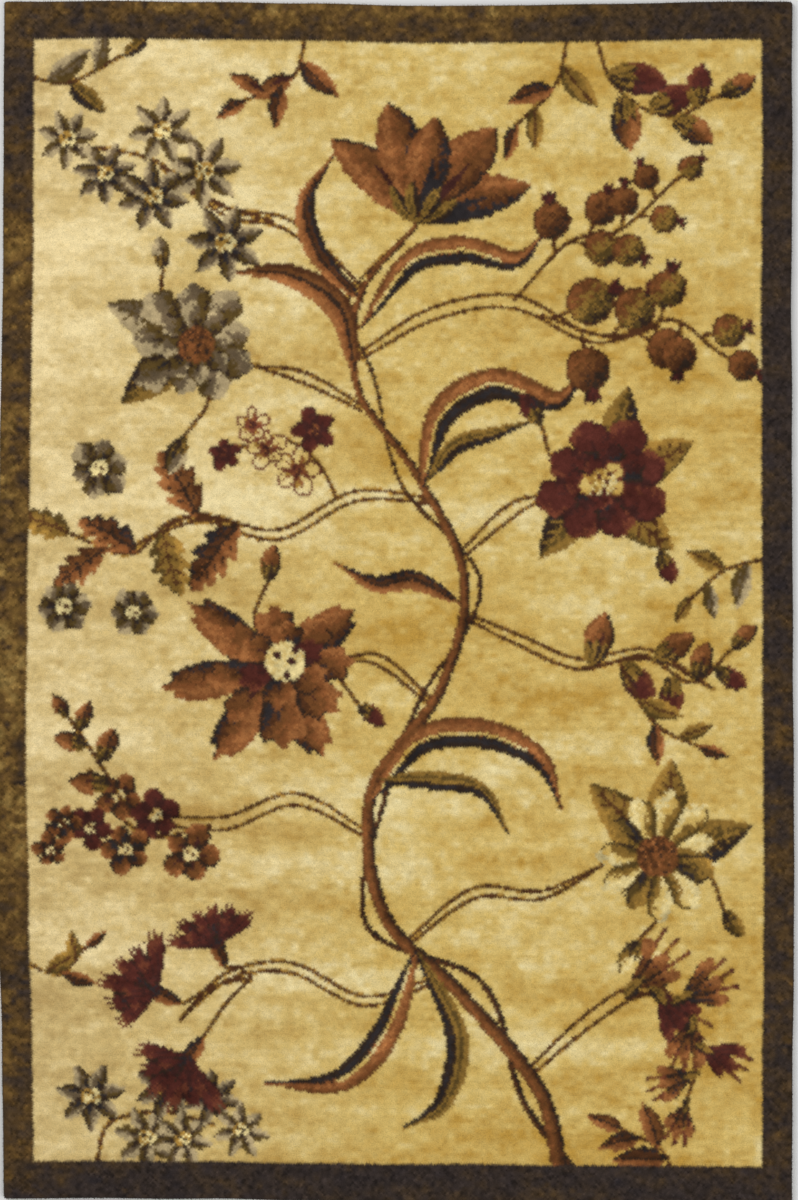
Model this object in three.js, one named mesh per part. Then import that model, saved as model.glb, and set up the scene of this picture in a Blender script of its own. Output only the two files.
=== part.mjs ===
// A hand-knotted wool rug lying flat, pile up.
// Millimetres. +X across the rug, +Y along it, +Z up. The origin is the middle of its underside.
// The rug is knotted in one piece: warps and wefts below, pile above, a bound edge all round.
import * as THREE from 'three';

// Driving sizes
const rugWidth = 1205; // across the two ends
const rugLength = 1830; // along the left side
const foundationThickness = 3; // warps and wefts under the pile
const pileHeight = 8;
const cornerRadius = 7;
const cellsAcross = 24; // steps in which the outline and the pile are drawn
const cellsAlong = 36;

// The loom never holds a rug square. Each row is a place along a side, as a share of it, with
// how far each side stands out there: left and right from the near end, the ends from the left.
const sideBow = [
  { along: 0.0, left: 0, right: 0, nearEnd: 0, farEnd: 0 },
  { along: 0.12, left: 3, right: 1, nearEnd: -0.5, farEnd: 0.5 },
  { along: 0.25, left: 9, right: 3.5, nearEnd: 0, farEnd: -0.5 },
  { along: 0.38, left: 13.5, right: 2.5, nearEnd: 3, farEnd: -3 },
  { along: 0.5, left: 11, right: 1, nearEnd: 4, farEnd: -6 },
  { along: 0.62, left: 6.5, right: 0, nearEnd: 5, farEnd: -6.5 },
  { along: 0.75, left: 2, right: -1, nearEnd: 6.5, farEnd: -4 },
  { along: 0.88, left: 0.5, right: 0.5, nearEnd: 8, farEnd: -1 },
  { along: 1.0, left: 0, right: 0, nearEnd: 9, farEnd: 0 },
];

// The small wander that hand beating leaves on every side
const wander = { height: 0.6, firstWave: 310, secondWave: 187 };

// The edge from the underside up: height above the floor and inset from the rim
const edgeSection = [
  { height: 0, inset: 1.6 },
  { height: 1, inset: 0.3 },
  { height: 2.4, inset: 0 },
  { height: 3.8, inset: 0.6 },
  { height: 4.5, inset: 2.2 }, // the groove between the bound edge and the pile
  { height: 7.5, inset: 1.6 }, // the outer knots lean out
  { height: 9.8, inset: 2.6 },
  { height: 10.8, inset: 5 },
];
const pileInset = 8; // where the top of the pile begins

// The pile rises and falls a little, as it does on a floor
const swell = { height: 0.4, acrossWave: 470, alongWave: 620 };

// A smooth value from a column of sideBow
function bowAt(column, along) {
  const share = THREE.MathUtils.clamp(along, 0, 1);
  const last = sideBow.length - 1;
  let row = 0;
  while (row < last - 1 && sideBow[row + 1].along < share) row += 1;
  const from = sideBow[row];
  const to = sideBow[row + 1];
  const step = THREE.MathUtils.smoothstep(share, from.along, to.along);
  return THREE.MathUtils.lerp(from[column], to[column], step);
}

function wanderAt(distance, start) {
  const first = Math.sin((2 * Math.PI * distance) / wander.firstWave + start);
  const second = Math.sin((2 * Math.PI * distance) / wander.secondWave + 2 * start);
  return (wander.height * (first + second)) / 2;
}

// From a place on the square plan to the rug's own uneven plan
function planPoint(across, along) {
  const x = across / rugWidth;
  const y = along / rugLength;
  const left = bowAt('left', y) + wanderAt(along, 0.4);
  const right = bowAt('right', y) + wanderAt(along, 1.7);
  const nearEnd = bowAt('nearEnd', x) + wanderAt(across, 2.9);
  const farEnd = bowAt('farEnd', x) + wanderAt(across, 4.2);
  return {
    x: across - rugWidth / 2 - (1 - x) * left + x * right,
    y: along - rugLength / 2 - (1 - y) * nearEnd + y * farEnd,
  };
}

// Places along one side: half and whole corner radius at both ends, even steps between
function stations(length, cells) {
  const straight = length - 2 * cornerRadius;
  const places = [0, cornerRadius / 2];
  for (let i = 0; i <= cells; i += 1) places.push(cornerRadius + (straight * i) / cells);
  places.push(length - cornerRadius / 2, length);
  return places;
}

// Pushes a square corner in to a quarter circle
function roundedPlace(x, y, width, length) {
  const inX = Math.min(x, width - x);
  const inY = Math.min(y, length - y);
  if (inX >= cornerRadius || inY >= cornerRadius) return { x, y };
  const outX = 1 - inX / cornerRadius;
  const outY = 1 - inY / cornerRadius;
  const newX = cornerRadius * (1 - outX * Math.sqrt(1 - (outY * outY) / 2));
  const newY = cornerRadius * (1 - outY * Math.sqrt(1 - (outX * outX) / 2));
  return {
    x: x < width / 2 ? newX : width - newX,
    y: y < length / 2 ? newY : length - newY,
  };
}

// A grid over the whole plan at one inset, with a height for each of its points
function levelGrid(inset, heightAt) {
  const width = rugWidth - 2 * inset;
  const length = rugLength - 2 * inset;
  return stations(length, cellsAlong).map((y) =>
    stations(width, cellsAcross).map((x) => {
      const place = roundedPlace(x, y, width, length);
      const plan = planPoint(place.x + inset, place.y + inset);
      return [plan.x, plan.y, heightAt(place.x, place.y, width, length)];
    }),
  );
}

// The points round the outside of a grid, anticlockwise from its lower left corner
function rimOf(grid) {
  const rows = grid.length;
  const columns = grid[0].length;
  const rim = [];
  for (let i = 0; i < columns - 1; i += 1) rim.push([0, i]);
  for (let j = 0; j < rows - 1; j += 1) rim.push([j, columns - 1]);
  for (let i = columns - 1; i > 0; i -= 1) rim.push([rows - 1, i]);
  for (let j = rows - 1; j > 0; j -= 1) rim.push([j, 0]);
  return rim.map(([j, i]) => ({ row: j, column: i, point: grid[j][i] }));
}

function pileTop(x, y, width, length) {
  const base = foundationThickness + pileHeight;
  const rise = Math.sin((2 * Math.PI * x) / swell.acrossWave + 0.8);
  const fall = Math.sin((2 * Math.PI * y) / swell.alongWave + 0.3);
  const fade = Math.min(1, Math.min(x, width - x, y, length - y) / cornerRadius);
  return base + swell.height * rise * fall * fade;
}

// The whole rug as one closed surface: underside, edge and pile
function makeRugGeometry() {
  const positions = [];
  const index = [];
  const addPoint = (point) => positions.push(...point) / 3 - 1;

  const rings = edgeSection.map(({ height, inset }) =>
    rimOf(levelGrid(inset, () => height)).map(({ point }) => addPoint(point)),
  );
  const top = levelGrid(pileInset, pileTop);
  const topIndex = top.map((row) => row.map(addPoint));
  rings.push(rimOf(top).map(({ row, column }) => topIndex[row][column]));

  for (let level = 0; level < rings.length - 1; level += 1) {
    const lower = rings[level];
    const upper = rings[level + 1];
    lower.forEach((point, i) => {
      const next = (i + 1) % lower.length;
      index.push(point, lower[next], upper[next], point, upper[next], upper[i]);
    });
  }
  for (let j = 0; j < top.length - 1; j += 1) {
    for (let i = 0; i < top[0].length - 1; i += 1) {
      const [a, b] = [topIndex[j][i], topIndex[j][i + 1]];
      const [c, d] = [topIndex[j + 1][i + 1], topIndex[j + 1][i]];
      index.push(a, b, c, a, c, d);
    }
  }
  const floorRing = rings[0].map(
    (point) => new THREE.Vector2(positions[3 * point], positions[3 * point + 1]),
  );
  THREE.ShapeUtils.triangulateShape(floorRing, []).forEach(([a, b, c]) => {
    index.push(rings[0][a], rings[0][c], rings[0][b]);
  });

  const geometry = new THREE.BufferGeometry();
  geometry.setAttribute('position', new THREE.Float32BufferAttribute(positions, 3));
  geometry.setIndex(index);
  geometry.computeBoundingBox();
  const middle = geometry.boundingBox.getCenter(new THREE.Vector3());
  geometry.translate(-middle.x, -middle.y, 0);
  geometry.computeVertexNormals();
  return geometry;
}

const wool = new THREE.MeshStandardMaterial({
  color: 0xc9b071,
  roughness: 0.85,
  metalness: 0,
});

const rug = new THREE.Mesh(makeRugGeometry(), wool);
rug.name = 'rug';

const model = new THREE.Group();
model.add(rug);

export default model;
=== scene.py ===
import math

import bpy
import numpy as np
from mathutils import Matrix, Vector


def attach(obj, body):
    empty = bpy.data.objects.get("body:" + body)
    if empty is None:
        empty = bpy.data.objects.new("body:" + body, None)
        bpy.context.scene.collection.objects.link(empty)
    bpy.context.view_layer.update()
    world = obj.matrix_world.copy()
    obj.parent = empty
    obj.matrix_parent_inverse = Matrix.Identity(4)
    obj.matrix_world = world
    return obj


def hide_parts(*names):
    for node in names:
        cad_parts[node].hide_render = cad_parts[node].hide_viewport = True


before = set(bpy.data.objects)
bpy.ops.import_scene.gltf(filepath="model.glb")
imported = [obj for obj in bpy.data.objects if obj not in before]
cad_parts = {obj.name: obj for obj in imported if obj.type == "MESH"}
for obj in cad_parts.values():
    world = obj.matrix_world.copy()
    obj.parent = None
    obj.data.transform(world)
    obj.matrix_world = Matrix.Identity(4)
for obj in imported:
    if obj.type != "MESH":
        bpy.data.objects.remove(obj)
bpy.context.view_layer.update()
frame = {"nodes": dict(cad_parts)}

scene = bpy.context.scene
print("frame loaded:", ", ".join(frame["nodes"]))


def table(columns, *rows):
    # rows of values that go by the names of their columns; a short row leaves out the last ones
    return [dict(zip(columns.split(), row)) for row in rows]


# the rug's own sizes, as the weaver measures them on the loom
rugSizes = {
    "width": 1.205,
    "length": 1.830,
    "foundation": 0.003,
    "pile": 0.008,
    "cornerRadius": 0.007,
    "knotPitch": 0.0039,
    "pileInset": 0.005,
}
borderWidths = {"left": 0.0475, "right": 0.0485, "near": 0.0613, "far": 0.061}

# how far each side stands out along its length: left and right from the near end, ends from the left
sideBow = table(
    "along left right near far",
    (0.0, 0.0, 0.0, 0.0, 0.0),
    (0.12, 0.003, 0.001, -0.0005, 0.0005),
    (0.25, 0.009, 0.0035, 0.0, -0.0005),
    (0.38, 0.0135, 0.0025, 0.003, -0.003),
    (0.5, 0.011, 0.001, 0.004, -0.006),
    (0.62, 0.0065, 0.0, 0.005, -0.0065),
    (0.75, 0.002, -0.001, 0.0065, -0.004),
    (0.88, 0.0005, 0.0005, 0.008, -0.001),
    (1.0, 0.0, 0.0, 0.009, 0.0),
)
wander = {"height": 0.0006, "firstWave": 0.310, "secondWave": 0.187}
wanderStart = {"left": 0.4, "right": 1.7, "near": 2.9, "far": 4.2}
swell = {"height": 0.0004, "acrossWave": 0.470, "acrossStart": 0.8, "alongWave": 0.620, "alongStart": 0.3}


def sideOut(side, distance, whole):
    # how far a side stands out at a distance along it: its bow and the small wander of the beating
    places = np.array([row["along"] for row in sideBow])
    outs = np.array([row[side] for row in sideBow])
    share = np.clip(distance / whole, 0, 1)
    start = np.clip(np.searchsorted(places, share, side="right") - 1, 0, len(places) - 2)
    step = (share - places[start]) / (places[start + 1] - places[start])
    bow = outs[start] + (outs[start + 1] - outs[start]) * step * step * (3 - 2 * step)
    first = np.sin(2 * math.pi * distance / wander["firstWave"] + wanderStart[side])
    second = np.sin(2 * math.pi * distance / wander["secondWave"] + 2 * wanderStart[side])
    return bow + wander["height"] * (first + second) / 2


def loomPlace(x, y):
    # from a square plan measured from its lower left corner to the rug's own uneven plan
    width, length, radius = rugSizes["width"], rugSizes["length"], rugSizes["cornerRadius"]
    inX, inY = np.minimum(x, width - x), np.minimum(y, length - y)
    outX, outY = np.clip(1 - inX / radius, 0, 1), np.clip(1 - inY / radius, 0, 1)
    newX = np.where(inY < radius, radius * (1 - outX * np.sqrt(1 - outY**2 / 2)), inX)
    newY = np.where(inX < radius, radius * (1 - outY * np.sqrt(1 - outX**2 / 2)), inY)
    newX, newY = np.where(inX < radius, newX, inX), np.where(inY < radius, newY, inY)
    x = np.where(x < width / 2, newX, width - newX)
    y = np.where(y < length / 2, newY, length - newY)
    shareX, shareY = x / width, y / length
    left, right = sideOut("left", y, length), sideOut("right", y, length)
    near, far = sideOut("near", x, width), sideOut("far", x, width)
    planX = x - width / 2 - (1 - shareX) * left + shareX * right
    planY = y - length / 2 - (1 - shareY) * near + shareY * far
    return planX, planY


def rimLoop(inset, spacing):
    # points round the rug at one inset, from the lower left corner and anticlockwise
    right, far = rugSizes["width"] - inset, rugSizes["length"] - inset
    across, along = np.arange(inset, right, spacing), np.arange(inset, far, spacing)
    level, upright = np.ones(len(across)), np.ones(len(along))
    x = np.concatenate((across, right * upright, right + inset - across, inset * upright))
    y = np.concatenate((inset * level, along, far * level, far + inset - along))
    return loomPlace(x, y)


# the frame has its origin in the middle of the rug's box
rimX, rimY = rimLoop(0.0, 0.010)
middle = np.array(((rimX.min() + rimX.max()) / 2, (rimY.min() + rimY.max()) / 2))


def rugPlace(x, y):
    planX, planY = loomPlace(x, y)
    return planX - middle[0], planY - middle[1]


def pileTop(x, y):
    base = rugSizes["foundation"] + rugSizes["pile"]
    rise = np.sin(2 * math.pi * x / swell["acrossWave"] + swell["acrossStart"])
    fall = np.sin(2 * math.pi * y / swell["alongWave"] + swell["alongStart"])
    return base + swell["height"] * (rise * fall - 0.5)


# the camera looks straight down on the rug, as the photograph does. all but the lens is in the
# photograph's pixels: its size, the rug's middle in it and the rug's length
cameraPlan = {
    "lens": 85.0, "photoWidth": 798, "photoHeight": 1200, "middleX": 398.0, "middleY": 600.0,
    "rugLength": 1199.8,
}


def makeCamera(plan):
    data = bpy.data.cameras.new("camera")
    data.lens = plan["lens"]
    camera = bpy.data.objects.new("camera", data)
    scene.collection.objects.link(camera)
    pixel = rugSizes["length"] / plan["rugLength"]
    height = plan["photoHeight"] * pixel / data.sensor_width * data.lens
    offX = (plan["photoWidth"] / 2 - plan["middleX"]) * pixel
    offY = (plan["middleY"] - plan["photoHeight"] / 2) * pixel
    top = rugSizes["foundation"] + rugSizes["pile"]
    camera.location = (offX - middle[0], offY - middle[1], top + height)
    scene.camera = camera


makeCamera(cameraPlan)
print("camera set")


# wool colours as the eye sees them, 0 to 255
wools = {
    "straw": (201, 174, 104),
    "cream": (213, 194, 136),
    "ochre": (158, 121, 54),
    "olive": (127, 97, 43),
    "moss": (81, 63, 30),
    "umber": (76, 46, 26),
    "bark": (103, 64, 33),
    "rust": (124, 75, 40),
    "terracotta": (148, 95, 53),
    "madder": (103, 55, 38),
    "burgundy": (79, 38, 31),
    "plum": (61, 33, 29),
    "ink": (47, 35, 27),
    "navy": (42, 38, 39),
    "slate": (100, 84, 62),
    "dove": (167, 148, 110),
    "border": (60, 47, 37),
}
woolNumber = {name: number for number, name in enumerate(wools)}
chartSeed = 7


class KnotChart:
    # one wool for each knot: rows from the near end, columns from the left side
    def __init__(self, columnMiddles, rowMiddles):
        self.x, self.y = np.meshgrid(columnMiddles, rowMiddles)
        self.pitch = columnMiddles[1] - columnMiddles[0]
        self.wool = np.full(self.x.shape, woolNumber["straw"])
        self.random = np.random.default_rng(chartSeed)
        self.dither = self.random.random(self.x.shape)

    def window(self, middle, reach):
        x, y = middle
        rows = slice(*np.searchsorted(self.y[:, 0], (y - reach, y + reach)))
        columns = slice(*np.searchsorted(self.x[0], (x - reach, x + reach)))
        return rows, columns

    def seenFrom(self, window, base, direction):
        # the knots' places along a direction from a base, and across it
        x, y = self.x[window] - base[0], self.y[window] - base[1]
        along = x * math.cos(direction) + y * math.sin(direction)
        return along, y * math.cos(direction) - x * math.sin(direction)

    def tie(self, window, mask, names, value=0.0, mixing=0.18):
        # value from 0 to 1 picks from the named wools, and the dither mixes neighbours by hand
        numbers = np.array([woolNumber[name] for name in names.split()])
        spread = value + (self.dither[window] - 0.5) * mixing
        pick = np.clip((spread * len(numbers)).astype(int), 0, len(numbers) - 1)
        self.wool[window] = np.where(mask, numbers[pick], self.wool[window])


def insideEdge(mask):
    # the knots of a shape that have a neighbour outside it
    padded = np.pad(mask, 1)
    core = padded[:-2, 1:-1] & padded[2:, 1:-1] & padded[1:-1, :-2] & padded[1:-1, 2:]
    return mask & ~core


def ahead(base, direction, length):
    return np.array(base) + np.array((math.cos(direction), math.sin(direction))) * length


def smoothPath(points, steps=40):
    # a curve through all the points, with its direction at each step
    points = np.array(points, float)
    ends = np.vstack((2 * points[0] - points[1], points, 2 * points[-1] - points[-2]))
    share = np.linspace(0, 1, steps, endpoint=False)[:, None]
    parts = []
    for a, b, c, d in zip(ends, ends[1:], ends[2:], ends[3:]):
        bend = (2 * a - 5 * b + 4 * c - d) * share**2 + (3 * b - a - 3 * c + d) * share**3
        parts.append(0.5 * (2 * b + (c - a) * share + bend))
    path = np.vstack((*parts, points[-1:]))
    slope = np.gradient(path, axis=0)
    return path, np.arctan2(slope[:, 1], slope[:, 0])


# tones run from the shaded side of a part to its bright side; streak runs along its inner part,
# line lies between petals or round a leaf, vein up its middle
partLooks = {
    "rustPetal": {"tones": "ink umber bark bark rust terracotta rust", "streak": "plum", "line": "ink"},
    "emberPetal": {"tones": "navy navy umber bark rust terracotta rust", "streak": "navy", "line": "ink"},
    "winePetal": {"tones": "plum burgundy burgundy madder", "streak": "plum", "line": "plum"},
    "darkWinePetal": {"tones": "navy plum burgundy", "streak": "navy", "line": "ink"},
    "palePetal": {"tones": "moss olive straw cream straw", "streak": "olive", "line": "moss"},
    "mossPetal": {"tones": "navy moss olive ochre", "streak": "ink", "line": "ink"},
    "dovePetal": {"tones": "ink moss slate dove dove", "streak": "ink", "line": "moss"},
    "shadePetal": {"tones": "ink moss slate dove", "streak": "navy", "line": "ink"},
    "openPetal": {"tones": "ochre straw straw cream", "streak": "rust", "line": "madder", "ringed": True},
    "oliveLeaf": {"tones": "moss olive olive ochre", "line": "moss", "vein": "umber"},
    "darkLeaf": {"tones": "navy ink moss olive", "line": "ink", "vein": "olive"},
    "rustLeaf": {"tones": "umber bark rust terracotta", "line": "umber", "vein": "ink"},
    "halfLeaf": {"tones": "navy umber rust terracotta", "line": "ink", "vein": "ink"},
    "greyLeaf": {"tones": "moss slate dove", "line": "moss", "vein": "moss"},
    "blade": {"tones": "navy navy ink rust terracotta rust bark", "line": "ink", "light": "straw"},
    "berry": {"tones": "ink umber bark rust", "line": "umber"},
    "hip": {"tones": "ink moss olive bark rust", "line": "umber"},
}

# what a petal, a bloom and a side-on bloom look like unless they are told otherwise
petalForm = {
    "bend": 0.0, "full": 1.3, "blunt": 0.75, "ruffle": 0.0, "ruffles": 3, "lobes": 0, "lobeDepth": 0.3,
}
bloomForm = {"ragged": 0.07, "notch": 0.26, "power": 2.6, "teeth": 2, "tooth": 0.07}
fanForm = {"petals": 6, "opening": 2.6, "ragged": 0.08, "notch": 0.2, "power": 2.4, "teeth": 3, "tooth": 0.16}


def petal(chart, base, direction, length, width, look, **shape):
    # one petal or leaf from its base to its tip: it may bend, have a ruffled tip or lobed sides
    form, wool = {**petalForm, **shape}, partLooks[look]
    window = chart.window(base, length * (1.15 + abs(form["bend"])) + width)
    along, across = chart.seenFrom(window, base, direction)
    along = along / length
    across = across - form["bend"] * length * np.clip(along, 0, 1) ** 2
    side = np.clip(across / (width / 2), -1, 1)
    along = along / (1 - form["ruffle"] * (0.5 - 0.5 * np.cos(side * math.pi * form["ruffles"])))
    share = np.clip(along, 0, 1)
    half = width / 2 * np.sin(math.pi * share ** form["full"]) ** form["blunt"]
    if form["lobes"]:
        lobe = np.abs(np.sin(math.pi * form["lobes"] * (share - 0.25 * np.abs(side))))
        half = half * (1 - form["lobeDepth"] + form["lobeDepth"] * lobe)
    half = np.maximum(half, chart.pitch * 0.52)
    mask = (along > 0) & (along < 1) & (np.abs(across) < half)
    value = 0.5 + 0.42 * across / half + 0.25 * (share - 0.45)
    chart.tie(window, mask, wool["tones"], np.clip(value, 0, 0.999))
    if "streak" in wool and width > 5 * chart.pitch:
        wedge = np.abs(across + 0.2 * half) < (0.66 - share) * 0.8 * half
        chart.tie(window, mask & wedge & (share > 0.1), wool["streak"])
    chart.tie(window, insideEdge(mask) & (value < 0.5), wool["line"])
    if "vein" in wool and width > 3.5 * chart.pitch:
        vein = np.abs(across) < chart.pitch * 0.5
        if width > 10 * chart.pitch:
            twig = np.sin((share * length - np.abs(across) * 0.8) / chart.pitch * 1.25)
            vein = vein | ((twig > 0.84) & (np.abs(across) < 0.66 * half))
        chart.tie(window, mask & vein & (share > 0.06) & (share < 0.86), wool["vein"])


def petalEdge(reach, form, side):
    # how far a petal goes at each part of its width: less at its sides and between its teeth
    edge = reach * (1 - form["notch"] * np.abs(side) ** form["power"])
    return edge * (1 - form["tooth"] * (0.5 - 0.5 * np.cos(side * math.pi * form["teeth"])))


def bloom(chart, middle, radius, petals, looks, turn=0.0, squash=1.0, tilt=0.0, **shape):
    # a round of overlapping petals seen from above: looks are given round the bloom in turn
    form = {**bloomForm, **shape}
    window = chart.window(middle, radius * 1.35)
    x, y = chart.seenFrom(window, middle, tilt)
    y = y / squash
    away = np.hypot(x, y)
    sector = ((np.arctan2(y, x) - turn) / (2 * math.pi) * petals) % petals
    number = sector.astype(int) % petals
    side = 2 * (sector - np.floor(sector)) - 1
    stray = 1 + form["ragged"] * chart.random.standard_normal(petals)
    share = away / petalEdge(radius * stray[number], form, side)
    gap = (1 - np.abs(side)) * math.pi * away / petals
    inside = share < 1
    value = 0.04 + 0.68 * share - 0.15 * side**2 + 0.32 * side
    wedge = np.abs(side + 0.12) < (0.68 - share) * 0.8
    for order, look in enumerate(looks):
        wool = partLooks[look]
        mask = inside & (number % len(looks) == order)
        chart.tie(window, mask, wool["tones"], np.clip(value, 0, 0.999))
        chart.tie(window, mask & wedge, wool["streak"])
        chart.tie(window, mask & (gap < chart.pitch * (1.0 - 0.4 * share)), wool["line"])
        lined = (side < -0.25) | wool.get("ringed", False)
        chart.tie(window, insideEdge(inside) & mask & lined, wool["line"])


def fanBloom(chart, base, direction, size, looks, **shape):
    # a bloom seen from the side: ragged petals spread from one foot
    form = {**fanForm, **shape}
    petals = form["petals"]
    window = chart.window(base, size * 1.25)
    along, across = chart.seenFrom(window, base, direction)
    away = np.hypot(along, across)
    sector = (np.arctan2(across, along) / form["opening"] + 0.5) * petals
    number = np.clip(sector.astype(int), 0, petals - 1)
    side = 2 * (sector - np.floor(sector)) - 1
    stray = 1 + form["ragged"] * chart.random.standard_normal(petals)
    share = away / petalEdge(size * stray[number], form, side)
    inside = (share < 1) & (sector > 0) & (sector < petals)
    gap = (1 - np.abs(side)) * form["opening"] / 2 * away / petals
    value = 0.05 + 0.85 * share - 0.2 * side**2 + 0.15 * side
    wave = np.cos(side * 2.5 * math.pi)
    for order, look in enumerate(looks):
        wool = partLooks[look]
        mask = inside & (number % len(looks) == order)
        chart.tie(window, mask, wool["tones"], np.clip(value, 0, 0.999))
        chart.tie(window, mask & (wave > 0.55) & (share < 0.7) & (share > 0.15), wool["streak"])
        chart.tie(window, mask & (gap < chart.pitch * 0.6) & (share > 0.25), wool["line"])


def disc(chart, middle, radius, tones, mixing=1.0, line=None):
    window = chart.window(middle, radius + chart.pitch)
    x, y = chart.x[window] - middle[0], chart.y[window] - middle[1]
    mask = np.hypot(x, y) < radius
    value = np.clip(0.5 + 0.5 * (y - x) / (1.5 * radius), 0, 0.999)
    chart.tie(window, mask, tones, value, mixing)
    if line:
        chart.tie(window, insideEdge(mask) & (chart.dither[window] > 0.25), line)


def heart(chart, middle, radius, ground, dots, count, dotSize=0.85):
    # the middle of a bloom: a small disc with dark dots in it, their size in knots
    disc(chart, middle, radius, ground)
    for number in range(count):
        away = radius * 0.85 * math.sqrt((number + 0.5) / count)
        disc(chart, ahead(middle, 2.4 * number, away), chart.pitch * dotSize, dots)


def stroke(chart, points, widthAt, tones, line=None, vein=None, light=None):
    # a band along a curve, as wide as widthAt says at each share of it, with its tones across it
    path, directions = smoothPath(points)
    for step, ((x, y), direction) in enumerate(zip(path, directions)):
        share = step / (len(path) - 1)
        half = widthAt(share) / 2
        reach = max(half, chart.pitch * 0.68)
        window = chart.window((x, y), reach + chart.pitch)
        dx, dy = chart.x[window] - x, chart.y[window] - y
        mask = np.hypot(dx, dy) < reach
        if half < chart.pitch:
            # a thin stalk has a softer rim, where its knots share their places with the ground's
            rim = (np.hypot(dx, dy) < chart.pitch * 0.95) & (chart.wool[window] == woolNumber["straw"])
            chart.tie(window, rim, "ochre")
        side = (dy * math.cos(direction) - dx * math.sin(direction)) / reach
        chart.tie(window, mask, tones, np.clip(0.5 + 0.5 * side, 0, 0.999), 0.15)
        if line and half > 2.2 * chart.pitch:
            chart.tie(window, mask & (side < -0.7), line)
        if vein and half > 1.8 * chart.pitch:
            chart.tie(window, mask & (np.abs(side) < 0.16), vein)
        if light and half > 2.4 * chart.pitch and share < 0.72:
            chart.tie(window, mask & (np.abs(side * reach + 0.1 * half) < 0.5 * chart.pitch), light)
    return path, directions


def stem(chart, points, startWidth=0.0, endWidth=0.0, tones="umber", line=None):
    return stroke(chart, points, lambda share: startWidth + (endWidth - startWidth) * share, tones, line)


def stalk(chart, start, end, tones="umber"):
    # a short straight stalk
    stem(chart, (start, (np.array(start) + end) / 2, end), tones=tones)


def twinStem(chart, points, gap):
    # two thin stalks side by side that meet at their tip
    stem(chart, points)
    path = np.array(points, float)
    slope = np.gradient(path, axis=0)
    away = np.stack((-slope[:, 1], slope[:, 0]), axis=1)
    away /= np.hypot(*away.T)[:, None]
    share = np.sin(np.linspace(0.15, 1.0, len(path)) * math.pi)[:, None]
    stem(chart, path + away * share * gap)


def blade(chart, points, width, look):
    # a long leaf along a curve, narrow at both ends
    def widthAt(share):
        return width * math.sin(math.pi * share**0.8) ** 0.9

    stroke(chart, points, widthAt, **partLooks[look])


def sideBloom(chart, base, direction, size, looks):
    # a bloom seen from the side: outer petals curl away, the middle ones stand in front
    petals = table(
        "spread length width bend full",
        (0.75, 0.95, 0.42, 0.28, 1.1), (-0.75, 0.95, 0.42, -0.28, 1.1), (0.36, 1.02, 0.44, 0.1, 1.4),
        (-0.36, 1.02, 0.44, -0.1, 1.4), (0.05, 0.9, 0.38, 0.0, 1.2),
    )
    for row, look in zip(petals, looks):
        form = {"bend": row["bend"], "full": row["full"], "lobes": 5, "lobeDepth": 0.12}
        petal(chart, base, direction + row["spread"], size * row["length"], size * row["width"], look, **form)
    for spread in (1.15, -1.15, 0.5, -0.5):
        petal(chart, base, direction + spread, size * 0.36, size * 0.13, "darkLeaf", bend=-0.3 * spread)


def pinkBloom(chart, base, direction, size, looks):
    # a pink: two rounds of ragged petals over a narrow cup
    foot = ahead(base, direction, -size * 0.42)
    petal(chart, foot, direction, size * 0.8, size * 0.3, "halfLeaf", full=0.9, blunt=0.6)
    fanBloom(chart, base, direction, size, looks, teeth=4)
    inner = ahead(base, direction, size * 0.05)
    fanBloom(chart, inner, direction + 0.1, size * 0.62, looks[::-1], petals=4, opening=2.2)
    return foot


def leafOn(chart, base, direction, size, look):
    petal(chart, base, direction, size, size * 0.44, look, full=0.9, blunt=0.85, bend=0.12)


def lobedLeafOn(chart, base, direction, size, look):
    form = {"full": 1.0, "blunt": 0.6, "bend": 0.1, "lobes": 4, "lobeDepth": 0.42}
    petal(chart, base, direction, size, size * 0.55, look, **form)


def budOn(chart, base, direction, size, look):
    petal(chart, base, direction, size, size * 0.55, look, full=1.1)
    for spread in (0.55, -0.55, 0.0):
        petal(chart, base, direction + spread, size * 0.5, size * 0.2, "darkLeaf", bend=-0.4 * spread)


def hipOn(chart, base, direction, size, look):
    # a round hip or berry with a small crown
    foot, wool = ahead(base, direction, size * 0.3), partLooks[look]
    stalk(chart, base, foot)
    middle = ahead(foot, direction, size * 0.36)
    disc(chart, middle, size * 0.38, wool["tones"], 0.35, wool["line"])
    tip = ahead(middle, direction, size * 0.3)
    for spread in (0.5, 0.0, -0.5):
        petal(chart, tip, direction + spread, size * 0.3, size * 0.13, "darkWinePetal")


def bellOn(chart, base, direction, size, look):
    # a bell with a wide ragged mouth and threads that hang out of it
    for spread in (-0.2, 0.05, 0.28):
        end = ahead(base, direction + spread, size * 1.25)
        stalk(chart, base, end, "madder")
        disc(chart, end, chart.pitch * 0.9, "burgundy")
    fanBloom(chart, base, direction, size, (look,), petals=3, opening=1.25, teeth=1, tooth=0.0, notch=0.34)
    foot = ahead(base, direction, -size * 0.15)
    petal(chart, foot, direction, size * 0.5, size * 0.24, "darkLeaf", full=0.8)


def starOn(chart, base, direction, size, look):
    # a small open flower with pointed petals
    middle = ahead(base, direction, size * 0.5)
    for number in range(7):
        petal(chart, middle, direction + 0.9 * number, size * 0.52, size * 0.24, look, full=1.0)
    heart(chart, middle, size * 0.13, "cream ochre", "ink", 3)


def blossomOn(chart, base, direction, size, look):
    # a small round flower with five petals
    middle = ahead(base, direction, size * 0.5)
    bloom(chart, middle, size * 0.5, 5, (look,), direction, teeth=1)
    heart(chart, middle, size * 0.13, "cream straw", "umber", 3)


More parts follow.
